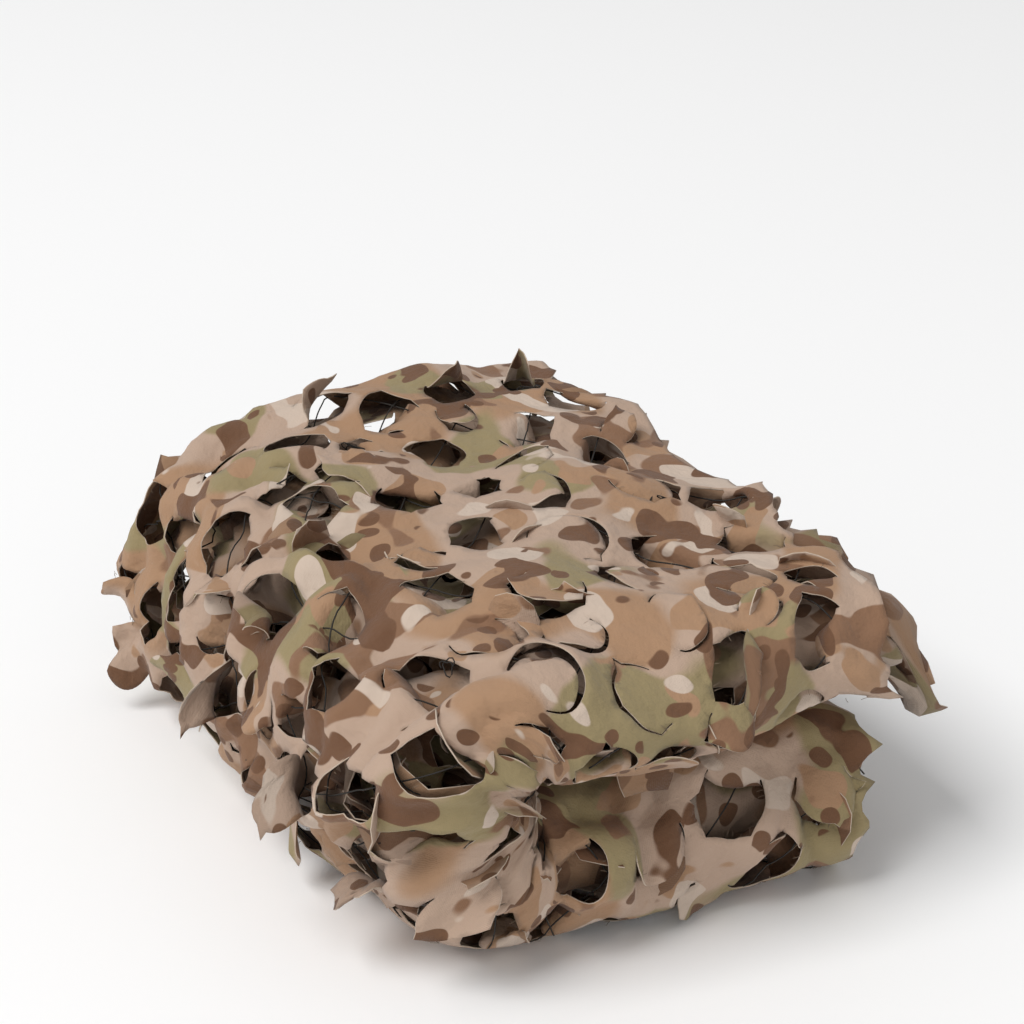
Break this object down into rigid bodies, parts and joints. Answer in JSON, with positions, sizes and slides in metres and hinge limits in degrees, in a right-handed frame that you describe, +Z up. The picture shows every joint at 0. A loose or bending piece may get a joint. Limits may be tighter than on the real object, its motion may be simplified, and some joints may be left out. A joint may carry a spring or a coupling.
{
  "type": "camouflage netting",
  "caption": "Camouflage netting with leaf-shaped cuts, folded into a soft bundle of two packs; lies on a flat surface until it is opened out as a cover, screen or shade.",
  "frame": {"origin": "middle of the footprint, on the surface that the bundle lies on", "axes": "+X towards the rounded edge where the cloth's layers turn back, -Y towards the thick spine where the strip is folded in half, +Z up"},
  "size_m": [0.5211, 0.4588, 0.2269],
  "materials": {
    "printed_cloth": "matte woven polyester in a blotched print of sand, tan, brown and olive, duller and darker on its back",
    "netting_string": "dull twisted string, dark brown"
  },
  "bodies": {
    "root": {"netting": "printed_cloth"}
  },
  "joints": []
}
